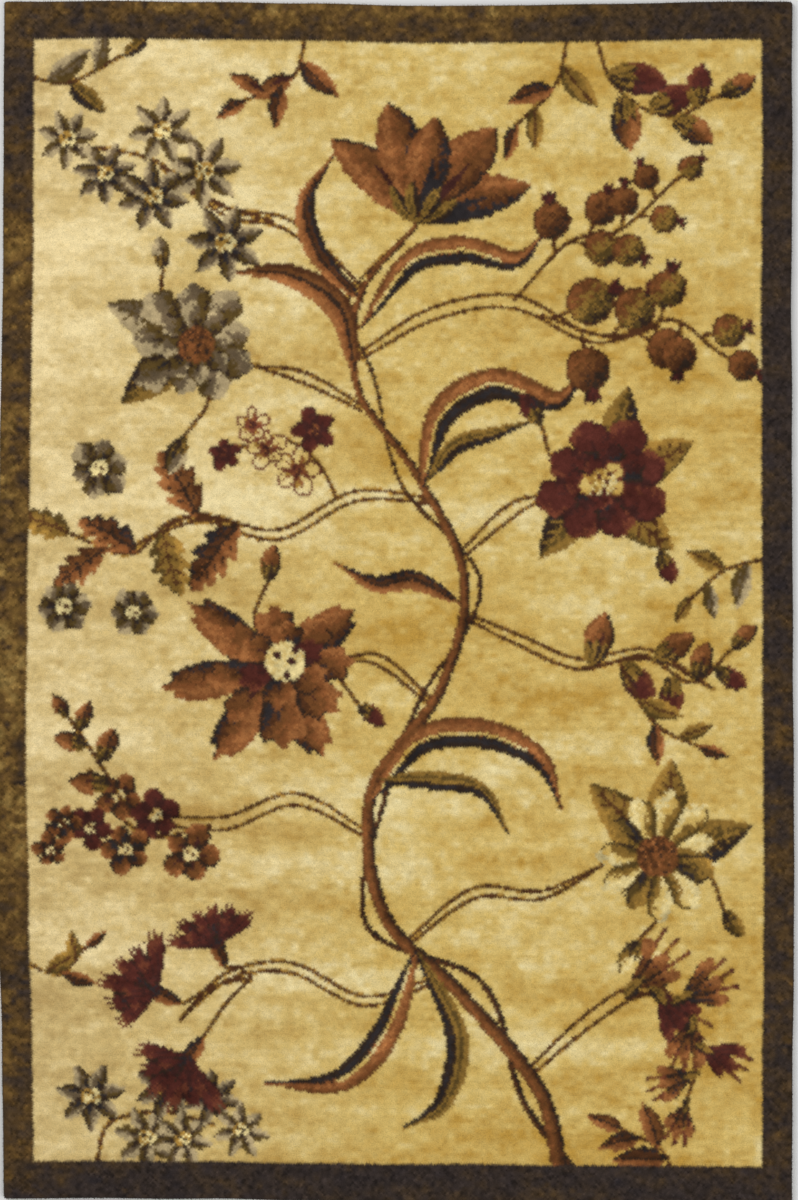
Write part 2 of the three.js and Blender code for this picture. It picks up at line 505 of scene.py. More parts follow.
def openOn(chart, base, direction, size, look):
    # a small pale flower drawn in outline, with threads in its middle
    middle = ahead(base, direction, size * 0.5)
    bloom(chart, middle, size * 0.5, 5, (look,), direction, notch=0.34, teeth=1, tooth=0.12)
    heart(chart, middle, size * 0.12, "rust madder", "plum", 3)


def spray(chart, points, count, size, looks, kind, spread=0.8, first=0.2, shrink=0.4):
    # leaves, buds or berries on both sides of a thin stalk, smaller towards its tip
    path, directions = stem(chart, points)
    for number in range(count):
        share = first + (1.0 - first) * number / (count - 1)
        place = min(int(share * (len(path) - 1)), len(path) - 1)
        side = 0 if number == count - 1 else (-1) ** number
        direction = directions[place] + side * spread + 0.15 * chart.random.standard_normal()
        kind(chart, path[place], direction, size * (1 - shrink * share), looks[number % len(looks)])


def paintTrunk(chart):
    trunk = [
        (0.25, -0.87), (0.215, -0.74), (0.10, -0.60), (-0.02, -0.47), (-0.035, -0.29), (0.07, -0.13),
        (0.105, 0.04), (0.03, 0.20), (-0.06, 0.33), (-0.055, 0.47), (0.03, 0.58),
    ]
    companion = [
        (0.275, -0.87), (0.19, -0.755), (0.13, -0.58), (-0.045, -0.49), (-0.01, -0.28), (0.04, -0.145),
        (0.13, 0.03), (0.01, 0.18), (-0.035, 0.345), (-0.075, 0.46), (0.03, 0.58),
    ]
    stem(chart, companion, 0.012, 0.004, "ink umber")
    stem(chart, trunk, 0.026, 0.009, "ink umber bark rust bark", "ink")


def paintBoughs(chart):
    boughs = [
        [(0.19, -0.72), (0.27, -0.64), (0.36, -0.58), (0.42, -0.60), (0.47, -0.68)],
        [(0.06, -0.57), (-0.05, -0.60), (-0.16, -0.55), (-0.26, -0.57), (-0.33, -0.64)],
        [(0.02, -0.52), (0.12, -0.45), (0.22, -0.45), (0.31, -0.40)],
        [(-0.04, -0.36), (-0.15, -0.31), (-0.26, -0.35), (-0.38, -0.33), (-0.46, -0.26)],
        [(0.06, -0.15), (-0.02, -0.08), (-0.09, -0.09)],
        [(0.10, -0.02), (0.18, -0.06), (0.28, -0.10), (0.38, -0.08), (0.48, -0.13)],
        [(0.10, 0.08), (0.17, 0.15), (0.24, 0.17)],
        [(0.06, 0.16), (-0.06, 0.17), (-0.18, 0.11), (-0.30, 0.13), (-0.40, 0.08)],
        [(-0.05, 0.30), (-0.14, 0.35), (-0.22, 0.36)],
        [(-0.06, 0.38), (0.05, 0.45), (0.18, 0.47), (0.30, 0.41), (0.40, 0.42)],
        [(-0.05, 0.48), (-0.16, 0.58), (-0.26, 0.60), (-0.36, 0.66)],
    ]
    for number, points in enumerate(boughs):
        twinStem(chart, points, 0.016 if number % 3 else -0.02)


def paintBlades(chart):
    blades = [
        ([(0.03, -0.53), (-0.02, -0.66), (-0.09, -0.73), (-0.20, -0.735)], 0.046, "blade"),
        ([(0.03, -0.53), (0.09, -0.66), (0.07, -0.76), (0.01, -0.80)], 0.036, "darkLeaf"),
        ([(-0.035, -0.30), (0.04, -0.21), (0.14, -0.20), (0.22, -0.24), (0.25, -0.31)], 0.048, "blade"),
        ([(-0.02, -0.27), (0.05, -0.27), (0.13, -0.285), (0.17, -0.35)], 0.030, "darkLeaf"),
        ([(0.10, 0.0), (0.03, 0.035), (-0.03, 0.03), (-0.09, 0.06)], 0.032, "halfLeaf"),
        ([(0.04, 0.18), (0.07, 0.29), (0.15, 0.335), (0.24, 0.31), (0.28, 0.345)], 0.052, "blade"),
        ([(0.05, 0.19), (0.09, 0.24), (0.15, 0.26), (0.21, 0.28)], 0.028, "darkLeaf"),
        ([(-0.06, 0.34), (-0.09, 0.45), (-0.17, 0.50), (-0.25, 0.50)], 0.042, "rustLeaf"),
        ([(-0.055, 0.42), (0.02, 0.52), (0.10, 0.54), (0.18, 0.525), (0.22, 0.56)], 0.044, "blade"),
        ([(-0.055, 0.46), (-0.12, 0.53), (-0.14, 0.61), (-0.10, 0.68)], 0.034, "halfLeaf"),
    ]
    for points, width, look in blades:
        blade(chart, points, width, look)


def bloomSetting(chart, place, leaves, buds):
    # what stands under a bloom: leaves round it, and buds on short stalks
    for direction, size, look in leaves:
        leafOn(chart, place, direction, size, look)
    for direction, away, size, look in buds:
        foot = ahead(place, direction, away)
        stem(chart, (place, ahead(place, direction + 0.35, away * 0.6), foot))
        budOn(chart, foot, direction - 0.3, size, look)


def paintRustBloom(chart):
    # the large one low on the left of the trunk
    place = np.array((-0.175, -0.105))
    for direction, size in ((2.5, 0.17), (4.1, 0.17), (3.3, 0.18), (0.7, 0.15), (5.2, 0.15)):
        petal(chart, place, direction, size, 0.060, "emberPetal", full=1.6, blunt=0.6, ruffle=0.08)
    bloomSetting(chart, place, (), ((1.7, 0.135, 0.060, "rustPetal"), (5.9, 0.130, 0.052, "winePetal")))
    outer, inner = ("rustPetal", "emberPetal"), ("emberPetal", "rustPetal", "winePetal")
    bloom(chart, place, 0.118, 8, outer, 0.2, 0.86, 0.3, teeth=3, tooth=0.09)
    bloom(chart, place + (0.006, 0.010), 0.074, 6, inner, 0.7, 0.86, 0.3, teeth=3, tooth=0.1)
    heart(chart, place + (0.010, 0.014), 0.030, "cream cream straw", "plum", 4, 1.6)


def paintWineBloom(chart):
    place = np.array((0.315, 0.185))
    leaves = (
        (0.3, 0.150, "oliveLeaf"), (1.2, 0.150, "darkLeaf"), (3.9, 0.150, "darkLeaf"),
        (-0.9, 0.150, "oliveLeaf"),
    )
    buds = ((5.4, 0.135, 0.056, "winePetal"), (2.4, 0.128, 0.060, "darkWinePetal"))
    bloomSetting(chart, place, leaves, buds)
    inner = ("darkWinePetal", "darkWinePetal", "winePetal")
    bloom(chart, place, 0.100, 8, ("winePetal",), 0.5, 0.95, 0.2, notch=0.22, power=3.0, tooth=0.05)
    bloom(chart, place, 0.064, 7, inner, 0.9, notch=0.18, power=3.0, tooth=0.06)
    bloom(chart, place, 0.040, 5, ("openPetal", "winePetal"), 0.2)
    heart(chart, place, 0.020, "cream straw ochre", "burgundy", 4, 1.2)


def paintGreyBloom(chart):
    place = np.array((-0.305, 0.390))
    leaves = ((2.6, 0.150, "greyLeaf"), (3.7, 0.145, "darkLeaf"))
    bloomSetting(chart, place, leaves, ((4.6, 0.140, 0.062, "shadePetal"), (2.0, 0.125, 0.052, "dovePetal")))
    outer = ("dovePetal", "shadePetal", "dovePetal")
    bloom(chart, place, 0.100, 9, outer, 0.1, 0.96, 0.5, notch=0.2, power=3.2)
    bloom(chart, place, 0.062, 8, ("shadePetal", "dovePetal"), 0.5)
    heart(chart, place, 0.028, "bark rust umber", "ink", 9)


def paintPaleBloom(chart):
    place = np.array((0.395, -0.385))
    leaves = ((1.3, 0.150, "oliveLeaf"), (0.2, 0.150, "darkLeaf"), (2.2, 0.150, "oliveLeaf"))
    bloomSetting(chart, place, leaves, ((4.5, 0.130, 0.060, "palePetal"), (5.6, 0.128, 0.052, "mossPetal")))
    outer = ("palePetal", "palePetal", "mossPetal")
    bloom(chart, place, 0.100, 11, outer, 0.2, 0.94, 0.9, notch=0.24, power=3.0)
    heart(chart, place, 0.032, "bark rust umber", "ink terracotta", 11)


def paintPinks(chart):
    knot, looks = np.array((-0.22, -0.575)), ("winePetal", "darkWinePetal", "winePetal")
    pinks = ((-0.36, -0.60, 2.7, 0.088), (-0.315, -0.695, 4.1, 0.088), (-0.270, -0.53, 1.9, 0.078))
    for x, y, direction, size in pinks:
        foot = pinkBloom(chart, (x, y), direction, size, looks)
        stem(chart, (knot, (foot + knot) / 2 + (0.0, 0.008), foot))


def paintGreyBlossoms(chart):
    for place, size in (((-0.45, 0.20), 0.046), ((-0.50, -0.01), 0.042), ((-0.395, -0.02), 0.038)):
        bloom(chart, place, size, 6, ("dovePetal", "shadePetal"), size * 40, notch=0.2)
        heart(chart, place, size * 0.28, "cream", "umber", 3)


# the sprays come in from the border first, then along the boughs; size is that of the largest part
sprayColumns = "points count size looks kind spread first shrink"
edgeSprays = table(
    sprayColumns,
    ([(0.30, 0.87), (0.33, 0.79), (0.41, 0.74), (0.49, 0.77)],
     6, 0.105, ("winePetal", "emberPetal"), budOn, 0.85, 0.25),
    ([(0.26, 0.87), (0.24, 0.79), (0.18, 0.73)], 4, 0.095, ("oliveLeaf", "halfLeaf"), leafOn, 0.8, 0.3),
    ([(-0.57, 0.80), (-0.50, 0.79), (-0.42, 0.83)], 4, 0.090, ("greyLeaf", "darkLeaf"), leafOn, 0.9, 0.25),
    ([(-0.46, -0.87), (-0.44, -0.80), (-0.36, -0.78), (-0.28, -0.80)],
     6, 0.112, ("shadePetal", "dovePetal"), starOn, 0.9, 0.3, 0.25),
    ([(0.57, 0.07), (0.50, 0.05), (0.45, 0.01)], 4, 0.080, ("greyLeaf", "oliveLeaf"), leafOn, 0.8, 0.25),
    ([(0.42, -0.87), (0.40, -0.83), (0.34, -0.80)], 4, 0.095, ("halfLeaf", "rustLeaf"), leafOn, 0.9, 0.3),
    ([(-0.14, 0.87), (-0.16, 0.80), (-0.23, 0.765)], 5, 0.090, ("halfLeaf", "rustPetal"), leafOn, 0.8, 0.3),
    ([(-0.57, -0.55), (-0.51, -0.57), (-0.47, -0.53)], 4, 0.070, ("oliveLeaf", "halfLeaf"), leafOn, 0.8, 0.3),
)
fruitSprays = table(
    sprayColumns,
    ([(-0.28, -0.345), (-0.37, -0.36), (-0.44, -0.32), (-0.50, -0.37)],
     7, 0.088, ("rustPetal", "winePetal", "emberPetal"), blossomOn, 0.95, 0.05),
    ([(-0.40, -0.325), (-0.45, -0.24), (-0.49, -0.18)],
     5, 0.072, ("rustPetal", "halfLeaf"), budOn, 0.8, 0.25),
    ([(0.34, -0.59), (0.42, -0.60), (0.46, -0.67), (0.44, -0.76)],
     7, 0.088, ("rustPetal", "winePetal", "emberPetal"), bellOn, 0.9, 0.05),
    ([(0.22, 0.44), (0.33, 0.405), (0.42, 0.43), (0.49, 0.38)],
     8, 0.098, ("hip", "berry"), hipOn, 1.05, 0.05, 0.35),
    ([(0.18, 0.465), (0.26, 0.55), (0.34, 0.57), (0.42, 0.64)],
     8, 0.086, ("berry", "hip"), hipOn, 0.95, 0.25, 0.4),
    ([(-0.22, 0.115), (-0.33, 0.125), (-0.40, 0.07), (-0.49, 0.10)],
     6, 0.125, ("halfLeaf", "rustLeaf", "oliveLeaf"), lobedLeafOn, 0.9, 0.05, 0.3),
)
flowerSprays = table(
    sprayColumns,
    ([(0.28, -0.10), (0.38, -0.085), (0.45, -0.12), (0.51, -0.07)],
     7, 0.088, ("rustPetal", "winePetal"), budOn, 0.95, 0.05),
    ([(0.34, -0.09), (0.39, -0.18), (0.46, -0.22)], 4, 0.080, ("oliveLeaf", "halfLeaf"), leafOn, 0.8, 0.3),
    ([(-0.09, 0.16), (-0.12, 0.215), (-0.175, 0.25), (-0.235, 0.235)],
     5, 0.086, ("openPetal", "winePetal", "openPetal"), openOn, 1.0, 0.25),
    ([(-0.19, 0.58), (-0.29, 0.61), (-0.37, 0.67), (-0.46, 0.69)],
     6, 0.122, ("shadePetal", "dovePetal"), starOn, 0.95, 0.1, 0.25),
)


def paintSprays(chart, rows):
    for row in rows:
        spray(chart, **row)


def paintGarden(chart):
    paintSprays(chart, edgeSprays)
    paintBoughs(chart)
    paintTrunk(chart)
    paintBlades(chart)
    paintPinks(chart)
    paintSprays(chart, fruitSprays)
    paintGreyBlossoms(chart)
    paintSprays(chart, flowerSprays)
    paintRustBloom(chart)
    paintWineBloom(chart)
    paintGreyBloom(chart)
    paintPaleBloom(chart)
    topLooks = ("rustPetal", "emberPetal", "emberPetal", "rustPetal", "emberPetal")
    sideBloom(chart, (0.03, 0.58), 1.35, 0.185, topLooks)  # at the top of the trunk


def gridLines(step):
    # the lines between the knots, from the rug's lower left corner; with a step, every so many
    inset, pitch = rugSizes["pileInset"], rugSizes["knotPitch"]
    columns = round((rugSizes["width"] - 2 * inset) / pitch / step)
    rows = round((rugSizes["length"] - 2 * inset) / pitch / step)
    return {
        "x": np.linspace(inset, rugSizes["width"] - inset, columns + 1),
        "y": np.linspace(inset, rugSizes["length"] - inset, rows + 1),
    }


def makeChart(lines):
    # the chart is measured from the rug's middle
    halfWidth, halfLength = rugSizes["width"] / 2, rugSizes["length"] / 2
    x, y = lines["x"] - halfWidth, lines["y"] - halfLength
    chart = KnotChart((x[1:] + x[:-1]) / 2, (y[1:] + y[:-1]) / 2)
    paintGarden(chart)
    inField = (chart.x > borderWidths["left"] - halfWidth) & (chart.x < halfWidth - borderWidths["right"])
    inField &= (chart.y > borderWidths["near"] - halfLength) & (chart.y < halfLength - borderWidths["far"])
    chart.wool[~inField] = woolNumber["border"]
    return chart


# yarn shades: how far one knot, a run of knots in a row, a whole row and a cloud of knots may
# stray from their wool. the strays of single knots also stand in for painted glints on fibre ends, strongest
# in the dark border wool
yarnPlan = {
    "seed": 11, "knot": 0.05, "motifKnotGlint": 0.10, "borderKnotGlint": 0.32, "run": 0.02, "runLength": 7,
    "rowStep": 0.008, "cloud": 0.075, "mixing": 1.2,
}
# the patches of the dye, so many knots high and wide, and how strongly the ground and border show them
cloudSizes = {"small": (1.9, 2.5), "cloud": (4.5, 7), "wide": (9, 38), "batch": (9, 60)}
groundStrays = {"small": 0.085, "cloud": 0.065, "wide": 0.10, "batch": 0.05, "run": 0.03, "row": 0.012}
borderStrays = {"small": 1.0, "cloud": 0.7, "batch": 0.9}

# the field's bands: bright and deep runs of the dyed ground, and painted sheen that makes it brightest at the
# upper left.
# place of the middle, reach each way, and how much brighter the wool is there
groundBase = 0.45
groundDyeAndSheenBands = table(
    "x y across along tone",
    (-0.56, 0.45, 0.22, 0.24, 0.38),
    (-0.56, -0.05, 0.22, 0.50, 0.12),
    (-0.42, 0.85, 0.18, 0.06, 0.28),
    (0.02, 0.82, 0.12, 0.06, 0.18),
    (-0.22, 0.58, 0.14, 0.16, 0.20),
    (-0.20, 0.15, 0.14, 0.08, 0.20),
    (-0.46, -0.20, 0.12, 0.08, 0.22),
    (-0.46, -0.52, 0.14, 0.07, 0.16),
    (-0.20, -0.35, 0.12, 0.06, 0.10),
    (0.25, 0.80, 0.25, 0.04, -0.14),
    (0.40, 0.42, 0.25, 0.06, -0.20),
    (0.30, 0.26, 0.30, 0.06, -0.18),
    (0.40, 0.08, 0.16, 0.05, 0.14),
    (0.20, -0.10, 0.24, 0.07, -0.16),
    (0.50, -0.30, 0.16, 0.06, -0.10),
    (0.22, -0.45, 0.24, 0.05, 0.20),
    (-0.22, -0.56, 0.16, 0.06, 0.22),
    (0.08, -0.60, 0.12, 0.05, -0.22),
    (0.50, -0.62, 0.14, 0.10, -0.30),
    (-0.34, -0.82, 0.18, 0.06, -0.18),
    (0.20, -0.82, 0.34, 0.06, -0.22),
)
groundTones = [(0.0, (181, 142, 62)), (0.5, (206, 178, 104)), (1.0, (227, 211, 158))]

# painted sheen: the ground is paler towards the left side, most along it, at the same brightness
leftSheen = {"most": 0.55, "across": 0.60, "tint": (206, 183, 137)}
eyeWeights = np.array((0.21, 0.72, 0.07))  # how strongly the eye sees red, green and blue light

# the border is as uneven: warm brown and golden on the left and far sides, near black elsewhere. this is
# partly the dye's own patches and partly painted light falling from the left and far side.
# its patches are stronger where it is lighter
borderBase = 0.285
borderPatches = {"least": 0.03, "more": 0.16, "above": 0.2}
borderDyeAndLightBands = table(
    "x y across along tone",
    (-0.59, -0.02, 0.06, 0.78, 0.39),
    (-0.59, 0.50, 0.06, 0.08, 0.14),
    (-0.59, 0.37, 0.06, 0.05, -0.12),
    (-0.59, -0.10, 0.06, 0.06, 0.14),
    (-0.59, -0.31, 0.06, 0.09, 0.24),
    (-0.59, -0.64, 0.06, 0.05, 0.18),
    (-0.59, 0.20, 0.06, 0.10, 0.08),
    (-0.18, 0.91, 0.42, 0.030, 0.34),
    (-0.15, 0.86, 0.38, 0.05, 0.16),
    (0.12, 0.89, 0.08, 0.05, 0.10),
    (0.59, -0.40, 0.06, 0.40, 0.12),
    (0.59, 0.35, 0.06, 0.15, -0.05),
)
borderTones = [
    (0.0, (38, 34, 37)), (0.26, (51, 42, 37)), (0.42, (66, 51, 34)), (0.58, (84, 62, 32)),
    (0.8, (110, 84, 42)), (1.0, (138, 112, 62)),
]


def linear(colour):
    # from 0 to 255 as the eye sees it, to the light that the renderer counts
    share = np.array(colour, float) / 255
    return np.where(share <= 0.04045, share / 12.92, ((share + 0.055) / 1.055) ** 2.4)


def runNoise(random, shape, runLength):
    # noise that changes along each row only after several knots, as the dye in a yarn does
    columns = shape[1] // runLength + 3
    coarse = random.standard_normal((shape[0], columns))
    places = np.arange(shape[1]) / runLength + random.random((shape[0], 1))
    start = places.astype(int)
    step = places - start
    step = step * step * (3 - 2 * step)
    rows = np.arange(shape[0])[:, None]
    return coarse[rows, start] * (1 - step) + coarse[rows, start + 1] * step


def clouds(random, shape, high, wide):
    # smooth noise whose patches are so many knots high and wide
    coarse = random.standard_normal((int(shape[0] / high) + 3, int(shape[1] / wide) + 3))
    places = [np.arange(count) / reach + random.random() for count, reach in zip(shape, (high, wide))]
    rows, columns = (place.astype(int) for place in places)
    up, over = ((place % 1) ** 2 * (3 - 2 * (place % 1)) for place in places)
    near = coarse[rows][:, columns] * (1 - over) + coarse[rows][:, columns + 1] * over
    far = coarse[rows + 1][:, columns] * (1 - over) + coarse[rows + 1][:, columns + 1] * over
    return (near * (1 - up[:, None]) + far * up[:, None]) * 1.4  # makes up for what the blending evens out


def mixed(strays, weights):
    return sum(weight * strays[name] for name, weight in weights.items())


def bandTone(bands, x, y, base):
    # the tone at places measured from the rug's middle: a base and what each band adds
    tone = np.full(np.shape(x), base)
    for band in bands:
        reach = ((x - band["x"]) / band["across"]) ** 2 + ((y - band["y"]) / band["along"]) ** 2
        tone += band["tone"] * np.exp(-reach)
    return tone


def rampColour(tone, stops):
    tone = np.clip(tone, 0, 1)
    places = [place for place, colour in stops]
    parts = np.array([linear(colour) for place, colour in stops])
    return np.stack([np.interp(tone, places, parts[:, part]) for part in range(3)], axis=-1)


def groundShade(x, y, stray):
    # the ground's colour: its dye bands with painted sheen, and more painted sheen making it paler towards
    # the left side at the same brightness
    ground = rampColour(bandTone(groundDyeAndSheenBands, x, y, groundBase) + stray, groundTones)
    sheened = leftSheen["most"] * np.clip(-x / leftSheen["across"], 0, 1)[..., None]
    tint = linear(leftSheen["tint"])
    paleGround = (ground @ eyeWeights)[..., None] * tint / (tint @ eyeWeights)
    return ground * (1 - sheened) + paleGround * sheened


def borderShade(x, y, stray):
    # the border's colour: its dye patches, and painted light that makes the left and far sides lighter
    tone = bandTone(borderDyeAndLightBands, x, y, borderBase)
    patches = borderPatches["least"] + borderPatches["more"] * np.clip(tone - borderPatches["above"], 0, 1)
    return rampColour(tone + stray * patches, borderTones)


def knotColoursWithLight(chart, plan):
    # the colour of every knot: its wool, its place in the bands of dye and painted light, the yarn's own
    # strays and painted glints
    random = np.random.default_rng(plan["seed"])
    shape = chart.wool.shape
    knot = random.standard_normal(shape)
    strays = {"run": runNoise(random, shape, plan["runLength"]), "row": random.standard_normal((shape[0], 1))}
    for name, size in cloudSizes.items():
        strays[name] = clouds(random, shape, *size)
    isGround = (chart.wool == woolNumber["straw"])[..., None]
    isBorder = (chart.wool == woolNumber["border"])[..., None]
    mottle = 1 + plan["cloud"] * (strays["cloud"] + strays["small"] + strays["wide"])
    motif = linear(list(wools.values()))[chart.wool] * mottle[..., None]
    ground = groundShade(chart.x, chart.y, mixed(strays, groundStrays))
    border = borderShade(chart.x, chart.y, mixed(strays, borderStrays))
    colours = np.where(isGround, ground, np.where(isBorder, border, motif))
    # dark wools stray more from knot to knot: partly the yarn's own variation, partly painted glints of light
    # on their fibre ends
    darker = np.where(isBorder, plan["borderKnotGlint"], plan["motifKnotGlint"])
    glint = np.where(isGround, plan["knot"], darker)[..., 0]
    stray = 1 + glint * knot + plan["run"] * strays["run"] + plan["rowStep"] * strays["row"]
    return np.clip(colours * np.clip(stray, 0.4, 2)[..., None], 0.002, 1), random


def blendedCorners(colours, random, mixing):
    # where four knots meet, their ends mix by chance
    padded = np.pad(colours, ((1, 1), (1, 1), (0, 0)), mode="edge")
    parts = (padded[:-1, :-1], padded[:-1, 1:], padded[1:, :-1], padded[1:, 1:])
    weights = random.random((4, *padded[:-1, :-1].shape[:2])) ** mixing + 0.02
    total = sum(weight[..., None] * part for weight, part in zip(weights, parts))
    return total / weights.sum(axis=0)[..., None]


# the pile's edge from its shoulder down, and the foundation's from the underside up
pileEdge = table("height inset", (0.0098, 0.0028), (0.0075, 0.0018), (0.0048, 0.0026), (0.0030, 0.0030))
backEdge = table("height inset", (0.0008, 0.0022), (0.0022, 0.0020), (0.0030, 0.0026))


class ClothMesh:
    # gathers closed blocks of cloth into one mesh, with a colour for each point
    def __init__(self):
        self.points, self.tints, self.tips, self.loose, self.seams = [], [], [], [], []
        self.corners, self.sizes, self.uvs = [], [], []
        self.count = 0

    def addPoints(self, points, tints, tips, loose, seams):
        first = self.count
        self.points.append(points.reshape(-1, 3))
        self.tints.append(tints.reshape(-1, 3))
        self.count += len(self.points[-1])
        for store, value in ((self.tips, tips), (self.loose, loose), (self.seams, seams)):
            store.append(np.broadcast_to(value, self.count - first).astype(np.float32))
        return first + np.arange(self.count - first)

    def addFaces(self, faces, uvs):
        self.corners.append(faces.ravel())
        self.sizes.append(np.full(len(faces), faces.shape[1]))
        self.uvs.append(np.asarray(uvs).reshape(-1, 2))

    def build(self, name, turnedOver=False):
        corners, uvs = np.concatenate(self.corners), np.concatenate(self.uvs)
        sizes = np.concatenate(self.sizes)
        starts = np.concatenate(([0], np.cumsum(sizes)[:-1]))
        if turnedOver:
            order = np.repeat(2 * starts + sizes - 1, sizes) - np.arange(len(corners))
            corners, uvs = corners[order], uvs[order]
        mesh = bpy.data.meshes.new(name)
        mesh.vertices.add(self.count)
        mesh.vertices.foreach_set("co", np.concatenate(self.points).astype(np.float32).ravel())
        mesh.loops.add(len(corners))
        mesh.loops.foreach_set("vertex_index", corners.astype(np.int32))
        mesh.polygons.add(len(starts))
        mesh.polygons.foreach_set("loop_start", starts.astype(np.int32))
        mesh.update(calc_edges=True)
        layer = mesh.uv_layers.new(name="OFBake")
        layer.uv.foreach_set("vector", uvs.astype(np.float32).ravel())
        setWoolColour(mesh, np.concatenate(self.tints))
        for label, values in (("tip", self.tips), ("loose", self.loose)):
            mesh.attributes.new(label, "FLOAT", "POINT").data.foreach_set("value", np.concatenate(values))
        ends = np.empty(len(mesh.edges) * 2, np.int32)
        mesh.edges.foreach_get("vertices", ends)
        sharp = (np.concatenate(self.seams) > 0)[ends.reshape(-1, 2)].all(axis=1)
        mesh.attributes.new("sharp_edge", "BOOLEAN", "EDGE").data.foreach_set("value", sharp)
        return mesh


def setWoolColour(mesh, tints):
    colours = np.ones((len(tints), 4), np.float32)
    colours[:, :3] = tints
    mesh.attributes.new("woolColour", "FLOAT_COLOR", "POINT").data.foreach_set("color", colours.ravel())


def rimIndex(rows, columns):
    # the outer points of a grid of lines, anticlockwise from the lower left
    along, across = np.arange(rows - 1), np.arange(columns - 1)
    row = np.concatenate((0 * across, along, 0 * across + rows - 1, rows - 1 - along))
    column = np.concatenate((across, 0 * along + columns - 1, columns - 1 - across, 0 * along))
    return row, column


def uvPlaces(u, v, upper, box):
    # a face's place on the texture; a folded block has its far half beside its near half
    if box.get("folded"):
        u, v = (u * 0.98 + upper * 1.02) / 2, 2 * v - upper
    if box.get("turned"):
        u, v = v, u
    (lowU, lowV), (highU, highV) = box["low"], box["high"]
    return np.stack((lowU + u * (highU - lowU), lowV + v * (highV - lowV)), axis=-1)


def faceHalves(rows, columns):
    # 1 for the knots in the far half of a block, 0 for those in its near half
    return (np.repeat(np.arange(rows - 1), columns - 1) >= (rows - 1) / 2).astype(float)[:, None]


def addCorners(cloth, x, y, outer, faceHeight, tints):
    # the points between the knots. edges shared with a neighbouring block are sharp, so that the
    # face is shaded apart from its wall
    seam = np.zeros((len(y), len(x)))
    parts = {"left": np.s_[:, 0], "right": np.s_[:, -1], "near": np.s_[0], "far": np.s_[-1]}
    for side, part in parts.items():
        if not outer[side]:
            seam[part] = 1
    gridX, gridY = np.meshgrid(x, y)
    place = np.stack((*rugPlace(gridX, gridY), faceHeight(gridX, gridY)), axis=-1)
    return cloth.addPoints(place, tints, 0, 1, seam.ravel()).reshape(seam.shape)


def addFace(cloth, x, y, number, faceHeight, box, knots):
    # the face knot by knot: with knots given, each has a tip of its own colour between its corners
    rows, columns = number.shape
    pointU, pointV = np.meshgrid(np.arange(columns) / (columns - 1), np.arange(rows) / (rows - 1))
    pointU, pointV, low = pointU.ravel(), pointV.ravel(), number[0, 0]
    a, b = number[:-1, :-1].ravel(), number[:-1, 1:].ravel()
    c, d = number[1:, 1:].ravel(), number[1:, :-1].ravel()
    upper = faceHalves(rows, columns)
    if knots is None:
        faces = np.stack((a, b, c, d), axis=1)
        cloth.addFaces(faces, uvPlaces(pointU[faces - low], pointV[faces - low], upper, box))
        return
    middleX, middleY = np.meshgrid((x[1:] + x[:-1]) / 2, (y[1:] + y[:-1]) / 2)
    place = np.stack((*rugPlace(middleX, middleY), faceHeight(middleX, middleY)), axis=-1)
    tip = cloth.addPoints(place, knots, 1, 1, 0)
    tipU, tipV = pointU[a - low] + 0.5 / (columns - 1), pointV[a - low] + 0.5 / (rows - 1)
    for first, second in ((a, b), (b, c), (c, d), (d, a)):
        u = np.stack((pointU[first - low], pointU[second - low], tipU), axis=1)
        v = np.stack((pointV[first - low], pointV[second - low], tipV), axis=1)
        cloth.addFaces(np.stack((first, second, tip), axis=1), uvPlaces(u, v, upper, box))


def addWall(cloth, x, y, outer, edge, number, tints, box):
    # the edge, level by level away from the face, and a plain back that closes the block
    rimRow, rimColumn = rimIndex(*number.shape)
    level, rimTints = number[rimRow, rimColumn], tints[rimRow, rimColumn]
    share = np.arange(len(level)) / len(level)
    steps = np.linspace(*box["edge"], len(edge) + 1)[::-1]
    for step, row in enumerate(edge):
        edgeX, edgeY, inset = x.copy(), y.copy(), row["inset"]
        edgeX[0] = inset if outer["left"] else x[0]
        edgeX[-1] = rugSizes["width"] - inset if outer["right"] else x[-1]
        edgeY[0] = inset if outer["near"] else y[0]
        edgeY[-1] = rugSizes["length"] - inset if outer["far"] else y[-1]
        levelX, levelY = rugPlace(edgeX[rimColumn], edgeY[rimRow])
        place = np.stack((levelX, levelY, np.full(len(level), row["height"])), axis=-1)
        slack = 0 if step == len(edge) - 1 else 0.5
        # painted shade: the edge is a tenth darker than the face at its first level, and a tenth more at each
        # level further away
        lower = cloth.addPoints(place, rimTints * (0.9 - 0.1 * step), 0, slack, 0)
        u = np.stack((share, share + 1 / len(level), share + 1 / len(level), share), axis=1)
        v = np.broadcast_to((steps[step + 1], steps[step + 1], steps[step], steps[step]), u.shape)
        faces = np.stack((lower, np.roll(lower, -1), np.roll(level, -1), level), axis=1)
        cloth.addFaces(faces, np.stack((u, v), axis=-1))
        level = lower
    backShare = np.stack((rimColumn / (len(x) - 1), rimRow / (len(y) - 1)), axis=-1)[::-1]
    cloth.addFaces(level[::-1][None], np.array(box["back"]) + backShare[None] * (0.02, 0.008))


def addBlock(cloth, lines, span, edge, faceHeight, box, corners, knots=None):
    # one closed block between two columns and two rows of the lines
    (firstColumn, lastColumn), (firstRow, lastRow) = span
    x, y = lines["x"][firstColumn : lastColumn + 1], lines["y"][firstRow : lastRow + 1]
    outer = {
        "left": firstColumn == 0, "right": lastColumn == len(lines["x"]) - 1,
        "near": firstRow == 0, "far": lastRow == len(lines["y"]) - 1,
    }
    tints = corners[firstRow : lastRow + 1, firstColumn : lastColumn + 1]
    own = None if knots is None else knots[firstRow:lastRow, firstColumn:lastColumn]
    number = addCorners(cloth, x, y, outer, faceHeight, tints)
    addFace(cloth, x, y, number, faceHeight, box, own)
    addWall(cloth, x, y, outer, edge, number, tints, box)


